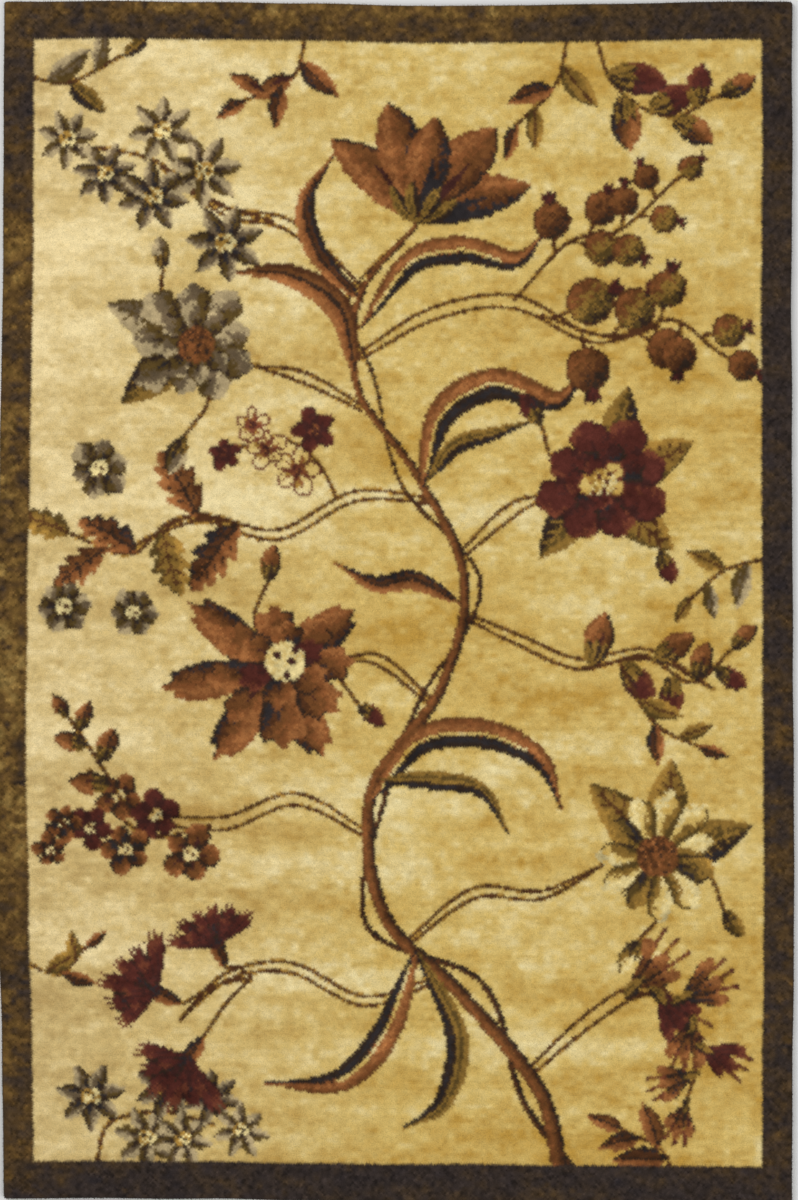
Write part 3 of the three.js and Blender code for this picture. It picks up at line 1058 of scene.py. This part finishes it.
class Wire:
    # the output of a node, which takes part in plain sums
    def __init__(self, bench, made, output):
        self.bench, self.made, self.socket = bench, made, made.outputs[output]

    def out(self, output):
        return Wire(self.bench, self.made, output)

    def sum(self, operation, first, second):
        return self.bench.node("ShaderNodeMath", {"operation": operation}, {0: first, 1: second})

    def __add__(self, other):
        return self.sum("ADD", self, other)

    def __sub__(self, other):
        return self.sum("SUBTRACT", self, other)

    def __rsub__(self, other):
        return self.sum("SUBTRACT", other, self)

    def __mul__(self, other):
        return self.sum("MULTIPLY", self, other)

    __radd__, __rmul__ = __add__, __mul__


class Bench:
    # adds nodes to one tree: a node's type, its settings and the values or wires of its sockets
    def __init__(self, tree):
        self.tree = tree

    def node(self, kind, settings=None, inputs=None, output=0):
        made = self.tree.nodes.new(kind)
        for name, value in (settings or {}).items():
            setattr(made, name, value)
        for name, value in (inputs or {}).items():
            if isinstance(value, Wire):
                self.tree.links.new(value.socket, made.inputs[name])
            else:
                made.inputs[name].default_value = value
        return Wire(self, made, output) if len(made.outputs) else made


def geometryTree(name, sizes):
    # a Geometry Nodes tree with a named input for each of the sizes, and their values to start from
    tree = bpy.data.node_groups.new(name, "GeometryNodeTree")
    for way in ("INPUT", "OUTPUT"):
        tree.interface.new_socket("Geometry", in_out=way, socket_type="NodeSocketGeometry")
    for label, value in sizes.items():
        kind = {float: "Float", int: "Int"}.get(type(value), "Material")
        socket = tree.interface.new_socket(label, in_out="INPUT", socket_type="NodeSocket" + kind)
        socket.default_value = value
    bench = Bench(tree)
    return bench, bench.node("NodeGroupInput")


def closeTree(bench, geometry, given):
    real = bench.node("GeometryNodeRealizeInstances", inputs={"Geometry": geometry})
    dress = {"Geometry": real, "Material": given.out("Material")}
    bench.node("NodeGroupOutput", inputs={"Geometry": bench.node("GeometryNodeSetMaterial", inputs=dress)})
    return bench.tree


def tellMade(name, mesh):
    print(name, "made with", sum(len(face.vertices) - 2 for face in mesh.polygons), "triangles")


def grown(name, mesh, tree, sizes):
    # an object whose plain mesh is what the tree makes of the given one
    piece = bpy.data.objects.new(name, mesh)
    scene.collection.objects.link(piece)
    modifier = piece.modifiers.new(tree.name, "NODES")
    modifier.node_group = tree
    for item in tree.interface.items_tree:
        if item.in_out == "INPUT" and item.name in sizes:
            modifier[item.identifier] = sizes[item.name]
    graph = bpy.context.evaluated_depsgraph_get()
    shown = piece.evaluated_get(graph)
    made = bpy.data.meshes.new_from_object(shown, preserve_all_data_layers=True, depsgraph=graph)
    piece.modifiers.remove(modifier)
    piece.data = made
    tellMade(name, made)
    return piece


def pileTree(sizes):
    # every knot's tip stands up and leans a little, and all its corners stray from the square
    bench, given = geometryTree("knottedPile", sizes)
    spot = {"Vector": bench.node("GeometryNodeInputPosition"), "W": given.out("Seed")}
    chance = bench.node("ShaderNodeTexWhiteNoise", {"noise_dimensions": "4D"}, spot, "Color")
    parts = bench.node("ShaderNodeSeparateXYZ", inputs={"Vector": chance})
    tip = bench.node("GeometryNodeInputNamedAttribute", {"data_type": "FLOAT"}, {"Name": "tip"})
    loose = bench.node("GeometryNodeInputNamedAttribute", {"data_type": "FLOAT"}, {"Name": "loose"})
    aside = (parts.out("X") - 0.5) * given.out("Slack") * loose
    along = (parts.out("Y") - 0.5) * given.out("Slack") * loose - tip * given.out("Lean")
    up = (parts.out("Z") - 0.5) * given.out("Lift") * loose + tip * given.out("Rise")
    offset = bench.node("ShaderNodeCombineXYZ", inputs={"X": aside, "Y": along, "Z": up})
    moves = {"Geometry": given.out("Geometry"), "Offset": offset}
    return closeTree(bench, bench.node("GeometryNodeSetPosition", inputs=moves), given)


def rimStops(bench, given):
    # evenly spaced places along the rim, each turned with it
    path = bench.node("GeometryNodeMeshToCurve", inputs={"Mesh": given.out("Geometry")})
    level = bench.node("GeometryNodeSetCurveNormal", {"mode": "Z_UP"}, {"Curve": path})
    spacing = {"Curve": level, "Length": given.out("Pitch")}
    return bench.node("GeometryNodeCurveToPoints", {"mode": "LENGTH"}, spacing)


def strayTurn(bench, given, stops, least, most):
    # the turn of each stop, and one by chance between two turns on top of it
    span = {"Min": least, "Max": most, "Seed": given.out("Seed")}
    stray = bench.node("FunctionNodeRandomValue", {"data_type": "FLOAT_VECTOR"}, span)
    turn = bench.node("FunctionNodeEulerToRotation", inputs={"Euler": stray})
    turns = {"Rotation": stops.out("Rotation"), "Rotate By": turn}
    return bench.node("FunctionNodeRotateRotation", {"rotation_space": "LOCAL"}, turns)


def circle(bench, resolution, radius):
    return bench.node(
        "GeometryNodeCurvePrimitiveCircle", {"mode": "RADIUS"}, {"Resolution": resolution, "Radius": radius}
    )


def windingTree(sizes):
    # yarn wound over the edge: one flattened loop after another along the rim
    bench, given = geometryTree("edgeWinding", sizes)
    stops = rimStops(bench, given)
    ring, section = circle(bench, 8, given.out("Reach")), circle(bench, 4, given.out("Yarn"))
    loop = bench.node("GeometryNodeCurveToMesh", inputs={"Curve": ring, "Profile Curve": section})
    wide = bench.node("ShaderNodeCombineXYZ", inputs={"X": 1.0, "Y": 1.0, "Z": 2.3})
    flat = bench.node("GeometryNodeTransform", inputs={"Geometry": loop, "Scale": wide})
    turns = strayTurn(bench, given, stops, (0.05, 0.16, -0.4), (0.16, 0.30, 0.4))
    loops = {"Points": stops, "Instance": flat, "Rotation": turns}
    return closeTree(bench, bench.node("GeometryNodeInstanceOnPoints", inputs=loops), given)


def tuftTree(sizes):
    # the outermost ends of the pile, which lean out over the edge
    bench, given = geometryTree("rimTuft", sizes)
    stops = rimStops(bench, given)
    tuft = bench.node("GeometryNodeMeshCone", {"fill_type": "NGON"}, {
        "Vertices": 3, "Side Segments": 1, "Fill Segments": 1, "Radius Top": given.out("Tip"),
        "Radius Bottom": given.out("Thickness"), "Depth": given.out("Length"),
    })
    # the cone stands along Z: it is laid outwards, then strays by chance
    laid = bench.node("GeometryNodeTransform", inputs={"Geometry": tuft, "Rotation": (0.0, 1.5708, 0.0)})
    turns = strayTurn(bench, given, stops, (-3.0, -0.5, -0.5), (3.0, 0.5, 0.9))
    scales = {2: 0.6, 3: 1.2, "Seed": given.out("Seed")}
    size = bench.node("FunctionNodeRandomValue", {"data_type": "FLOAT"}, scales, 1)
    tufts = {"Points": stops, "Instance": laid, "Rotation": turns, "Scale": size}
    return closeTree(bench, bench.node("GeometryNodeInstanceOnPoints", inputs=tufts), given)


def newMaterial(name):
    material = bpy.data.materials.new(name)
    material.use_nodes = True
    material.node_tree.nodes.clear()
    return material, Bench(material.node_tree)


def shaded(bench, colour, factor):
    # a colour made brighter or darker by a factor wire
    grey = bench.node("ShaderNodeCombineXYZ", inputs={"X": factor, "Y": factor, "Z": factor})
    return bench.node("ShaderNodeVectorMath", {"operation": "MULTIPLY"}, {0: colour, 1: grey})


def meshWool(bench, factor):
    # the wool colour of the mesh, painted light included, made brighter or darker
    source = {"attribute_type": "GEOMETRY", "attribute_name": "woolColour"}
    return shaded(bench, bench.node("ShaderNodeAttribute", source, output="Color"), factor)


def closeMaterial(bench, look, colour, roughness, height):
    # what is the same all over comes from the look, the rest from wires
    bump = bench.node("ShaderNodeBump", inputs={**look["bump"], "Height": height})
    wires = {"Base Color": colour, "Roughness": roughness, "Normal": bump}
    shader = bench.node("ShaderNodeBsdfPrincipled", inputs={**look["shader"], **wires})
    bench.node("ShaderNodeOutputMaterial", inputs={"Surface": shader})


def noise(bench, scale, detail=2.0, stretch=(1.0, 1.0, 1.0)):
    spot = bench.node("ShaderNodeTexCoord", output="Object")
    place = bench.node("ShaderNodeMapping", inputs={"Vector": spot, "Scale": stretch})
    grain = {"Vector": place, "Scale": scale, "Detail": detail, "Roughness": 0.6}
    return bench.node("ShaderNodeTexNoise", inputs=grain)


# pile wool: the dyed colour of each knot, its cut fibre ends with painted shade between them, and the streaks
# of the rows
woolLook = {
    "fibres": 1700.0, "fibreShade": 0.40,
    "streaks": 260.0, "streakShade": 0.16, "streakLength": (0.45, 1.0, 1.0),
    "yarnEnd": 0.0017, "yarnShade": 0.36, "yarnMiddle": 0.5, "roughness": 0.86, "unevenness": 0.12,
    "shader": {
        "Specular IOR Level": 0.05, "Sheen Weight": 0.06, "Sheen Roughness": 0.45,
        "Sheen Tint": (1.0, 0.86, 0.64, 1.0),
    },
    "bump": {"Strength": 0.8, "Distance": 0.0008},
}


def woolMaterial(look):
    material, bench = newMaterial("woolPile")
    fibres = noise(bench, look["fibres"], 3.0)
    streaks = noise(bench, look["streaks"], stretch=look["streakLength"])
    spot = bench.node("ShaderNodeTexCoord", output="Object")
    away = bench.node("ShaderNodeTexVoronoi", inputs={"Vector": spot, "Scale": 1 / look["yarnEnd"]})
    shade = 1.0 + (fibres - 0.5) * look["fibreShade"] + (streaks - 0.5) * look["streakShade"]
    # painted shade: darker away from the middle of each yarn end, in the gaps between the ends
    shade = shade - (away - look["yarnMiddle"]) * look["yarnShade"]
    roughness = look["roughness"] + (streaks - 0.5) * look["unevenness"]
    closeMaterial(bench, look, meshWool(bench, shade), roughness, fibres * 0.7 - away)
    return material


# wound edge wool: dark, with the twist of the yarn
edgeLook = {
    "fibres": 2200.0, "twist": 420.0, "shade": 0.35, "roughness": 0.82, "unevenness": 0.1,
    "shader": {"Specular IOR Level": 0.2, "Sheen Weight": 0.1, "Sheen Roughness": 0.5},
    "bump": {"Strength": 0.6, "Distance": 0.0003},
}


def edgeMaterial(look):
    material, bench = newMaterial("edgeWool")
    fibres, patches = noise(bench, look["fibres"]), noise(bench, look["twist"])
    shade = 1.0 + (fibres - 0.5) * look["shade"] + (patches - 0.5) * look["shade"]
    roughness = look["roughness"] + (patches - 0.5) * look["unevenness"]
    closeMaterial(bench, look, meshWool(bench, shade), roughness, fibres + patches)
    return material


# the back: the loops of the knots in their colours, with cotton weft between the rows
backLook = {
    "knot": 0.0039, "fibres": 1800.0, "cotton": (0.56, 0.47, 0.33, 1.0), "roughness": 0.9, "unevenness": 0.06,
    "shader": {"Specular IOR Level": 0.15},
    "bump": {"Strength": 0.8, "Distance": 0.0005},
}


def backMaterial(look):
    material, bench = newMaterial("cottonBack")
    spot = bench.node("ShaderNodeTexCoord", output="Object")
    parts = bench.node("ShaderNodeSeparateXYZ", inputs={"Vector": spot})
    turns = 2 * math.pi / look["knot"]
    across = bench.node("ShaderNodeMath", {"operation": "SINE"}, {0: parts.out("X") * (2 * turns)})
    along = bench.node("ShaderNodeMath", {"operation": "SINE"}, {0: parts.out("Y") * turns})
    fibres = noise(bench, look["fibres"])
    span = {"Value": along + fibres * 0.5, "From Min": 0.75, "From Max": 1.15}
    weft = bench.node("ShaderNodeMapRange", {"interpolation_type": "SMOOTHSTEP"}, span, "Result")
    dyed = meshWool(bench, 0.8 + across * 0.08 + fibres * 0.25)
    cover = {"Factor": weft * 0.7, 6: dyed, 7: look["cotton"]}
    colour = bench.node("ShaderNodeMix", {"data_type": "RGBA"}, cover, 2)
    height = along * 0.5 + across * 0.3 + fibres * 0.4
    closeMaterial(bench, look, colour, look["roughness"] + fibres * look["unevenness"], height)
    return material


def rimMesh(name, plan):
    # the line round the rug that the winding and the tufts follow, with the border's colour there, its
    # painted light included
    x, y = rimLoop(plan["inset"], plan["spacing"])
    count = len(x)
    mesh = bpy.data.meshes.new(name)
    mesh.vertices.add(count)
    place = np.stack((x - middle[0], y - middle[1], np.full(count, plan["height"])), axis=-1)
    mesh.vertices.foreach_set("co", place.astype(np.float32).ravel())
    mesh.edges.add(count)
    ends = np.stack((np.arange(count), (np.arange(count) + 1) % count), axis=-1)
    mesh.edges.foreach_set("vertices", ends.astype(np.int32).ravel())
    random = np.random.default_rng(plan["dyeSeed"])
    dye = borderShade(x, y, random.standard_normal(count))
    setWoolColour(mesh, dye * (0.85 + 0.3 * random.random((count, 1))))
    return mesh


chart = makeChart(gridLines(1))
knotColours, yarnRandom = knotColoursWithLight(chart, yarnPlan)
cornerColours = blendedCorners(knotColours, yarnRandom, yarnPlan["mixing"])
print("chart painted:", chart.wool.shape[0], "rows of", chart.wool.shape[1], "knots")

woolPile = woolMaterial(woolLook)
edgeWool = edgeMaterial(edgeLook)
cottonBack = backMaterial(backLook)

# the pile in blocks: the field in three strips, and the border round it
pilePlan = {
    "fieldColumns": (10, 105, 200, 295), "fieldRows": (14, 453), "fieldNames": ("Left", "Middle", "Right"),
    "sizes": {
        "Rise": 0.0005, "Slack": 0.0014, "Lift": 0.0006, "Lean": 0.0004, "Seed": 5.0, "Material": woolPile,
    },
}
knottedPile = pileTree(pilePlan["sizes"])
lines = gridLines(1)
lastColumn, lastRow = len(lines["x"]) - 1, len(lines["y"]) - 1


def fieldPieces():
    box = {
        "low": (0.0, 0.0), "high": (1.0, 0.96), "edge": (0.970, 0.985), "back": (0.0, 0.99), "folded": True,
    }
    sides = pilePlan["fieldColumns"]
    made = []
    for name, *columns in zip(pilePlan["fieldNames"], sides, sides[1:]):
        cloth = ClothMesh()
        span = (columns, pilePlan["fieldRows"])
        addBlock(cloth, lines, span, pileEdge[-1:], pileTop, box, cornerColours, knotColours)
        made.append(grown("fieldPile" + name, cloth.build("fieldPile"), knottedPile, pilePlan["sizes"]))
    return made


def borderPiece():
    left, right = pilePlan["fieldColumns"][0], pilePlan["fieldColumns"][-1]
    near, far = pilePlan["fieldRows"]
    spans = {
        "near": ((0, lastColumn), (0, near)), "far": ((0, lastColumn), (far, lastRow)),
        "left": ((0, left), (near, far)), "right": ((right, lastColumn), (near, far)),
    }
    cloth = ClothMesh()
    for number, (side, span) in enumerate(spans.items()):
        low = 0.25 * number
        box = {
            "low": (0.0, low), "high": (1.0, low + 0.2), "edge": (low + 0.205, low + 0.235),
            "back": (0.03 * number, 0.24),
        }
        if side in ("left", "right"):
            box.update(folded=True, turned=True)
        addBlock(cloth, lines, span, pileEdge, pileTop, box, cornerColours, knotColours)
    return grown("borderPile", cloth.build("borderPile"), knottedPile, pilePlan["sizes"])


# the cotton foundation: its back is flat, with one face for so many knots each way
foundationPlan = {"step": 2}


def foundationPiece(plan):
    coarse = gridLines(plan["step"])
    rows = np.linspace(0, lastRow, len(coarse["y"])).round().astype(int)
    columns = np.linspace(0, lastColumn, len(coarse["x"])).round().astype(int)
    cloth = ClothMesh()
    box = {"low": (0.0, 0.0), "high": (1.0, 0.95), "edge": (0.96, 0.985), "back": (0.0, 0.99)}
    span = ((0, len(columns) - 1), (0, len(rows) - 1))
    addBlock(cloth, coarse, span, backEdge, lambda x, y: 0 * x, box, cornerColours[np.ix_(rows, columns)])
    mesh = cloth.build("foundation", turnedOver=True)
    piece = bpy.data.objects.new("foundation", mesh)
    scene.collection.objects.link(piece)
    mesh.materials.append(cottonBack)
    tellMade("foundation", mesh)
    return piece


fieldPile = fieldPieces()
borderPile = borderPiece()
foundation = foundationPiece(foundationPlan)

windingPlan = {
    "inset": 0.0023, "height": 0.0024, "spacing": 0.0022, "dyeSeed": 23,
    "sizes": {"Pitch": 0.0024, "Reach": 0.0018, "Yarn": 0.0005, "Seed": 3, "Material": edgeWool},
}
windingPath = rimMesh("boundEdge", windingPlan)
boundEdge = grown("boundEdge", windingPath, windingTree(windingPlan["sizes"]), windingPlan["sizes"])

tuftPlan = {
    "inset": 0.0036, "height": 0.0080, "spacing": 0.0022, "dyeSeed": 23,
    "sizes": {
        "Pitch": 0.00085, "Length": 0.0036, "Thickness": 0.0005, "Tip": 0.00018, "Seed": 9,
        "Material": woolPile,
    },
}
tuftPath = rimMesh("rimTufts", tuftPlan)
rimTufts = grown("rimTufts", tuftPath, tuftTree(tuftPlan["sizes"]), tuftPlan["sizes"])

floorPlan = {
    "size": 90.0, "height": -0.0002, "grain": 3.0, "paint": {"X": 0.66, "Y": 0.66, "Z": 0.65},
    "roughness": 0.9, "shader": {}, "bump": {"Strength": 0.05, "Distance": 0.001},
}


def makeFloor(plan):
    mesh = bpy.data.meshes.new("floor")
    half, height = plan["size"] / 2, plan["height"]
    corners = [(x * half, y * half, height) for x, y in ((-1, -1), (1, -1), (1, 1), (-1, 1))]
    mesh.from_pydata(corners, [], [(0, 1, 2, 3)])
    floor = bpy.data.objects.new("floor", mesh)
    scene.collection.objects.link(floor)
    material, bench = newMaterial("paleFloor")
    grain = noise(bench, plan["grain"])
    colour = shaded(bench, bench.node("ShaderNodeCombineXYZ", inputs=plan["paint"]), 0.98 + grain * 0.04)
    closeMaterial(bench, plan, colour, plan["roughness"], grain)
    mesh.materials.append(material)
    return floor


# soft studio light, mostly from above and the upper left
skyLevel = 0.55
lightPlan = table(
    "name at size power",
    ("keyLight", (-2.6, 2.2, 3.6), 2.6, 120.0),
    ("fillLight", (2.8, -1.6, 3.8), 3.0, 80.0),
)


def makeLights():
    for plan in lightPlan:
        data = bpy.data.lights.new(plan["name"], "AREA")
        data.energy, data.size = plan["power"], plan["size"]
        light = bpy.data.objects.new(plan["name"], data)
        scene.collection.objects.link(light)
        light.location = plan["at"]
        light.rotation_euler = (-Vector(plan["at"])).to_track_quat("-Z", "Y").to_euler()
        light.visible_camera = False
    world = bpy.data.worlds.new("studio")
    world.use_nodes = True
    sky = world.node_tree.nodes["Background"].inputs
    sky["Color"].default_value = (1.0, 1.0, 1.0, 1.0)
    sky["Strength"].default_value = skyLevel
    scene.world = world


floor = makeFloor(floorPlan)
makeLights()
scene.view_settings.view_transform = "Standard"
print("floor and lights set")

pileParts = [*fieldPile, borderPile, rimTufts]
for piece in (*pileParts, foundation, boundEdge):
    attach(piece, "root")
    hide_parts("rug")
